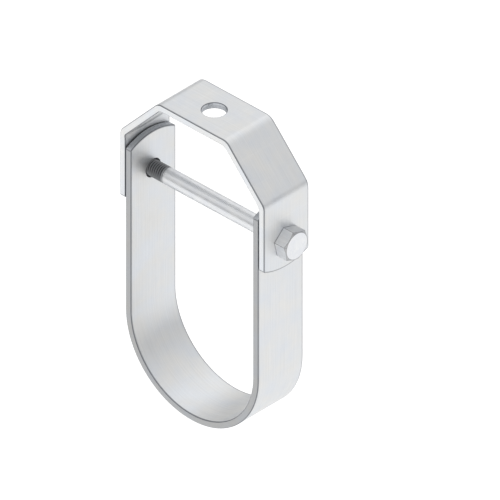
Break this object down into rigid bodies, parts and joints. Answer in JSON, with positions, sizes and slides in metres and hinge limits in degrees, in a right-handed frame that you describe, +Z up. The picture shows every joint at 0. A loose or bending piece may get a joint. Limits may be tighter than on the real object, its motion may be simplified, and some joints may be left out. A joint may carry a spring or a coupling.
{
  "type": "clevis pipe hanger",
  "caption": "Clevis pipe hanger: folded steel yoke with a rod hole in its top, and a U-shaped cradle strap pinned inside its legs by a hex head cross bolt and nut.",
  "frame": {"origin": "centre of the rod hole, on the outer face of the yoke's top", "axes": "+X along the cross bolt, towards its head; +Y along the bore of the cradle, which is the pipe's axis; +Z up, along the hanger rod"},
  "size_m": [0.128, 0.035, 0.196],
  "materials": {
    "yoke_steel": "hot-rolled flat bar, folded and bright zinc plated",
    "strap_steel": "hot-rolled flat bar, rolled and bright zinc plated",
    "bolt_steel": "cold-forged, thread rolled, bright zinc plated",
    "nut_steel": "cold-forged, tapped, bright zinc plated"
  },
  "bodies": {
    "yoke": {"upper_yoke": "yoke_steel"},
    "cradle": {"lower_strap": "strap_steel"},
    "bolt": {"cross_bolt": "bolt_steel"},
    "nut": {"cross_bolt_nut": "nut_steel"}
  },
  "joints": [
    {"name": "strap_swing", "type": "hinge", "parent": "yoke", "child": "cradle", "pos_m": [0, 0, -0.06003], "axis": [1, 0, 0], "range_deg": [-115, 115]},
    {"name": "bolt_turn", "type": "hinge", "parent": "yoke", "child": "bolt", "pos_m": [0, 0, -0.06003], "axis": [1, 0, 0], "range_deg": [0, 2700]},
    {"name": "nut_travel", "type": "slide", "parent": "yoke", "child": "nut", "axis": [-1, 0, 0], "range_m": [0, 0.01125]}
  ],
  "couplings": [
    {"joint": "nut_travel", "follows": "bolt_turn", "m_per_rad": 0.00023873}
  ]
}
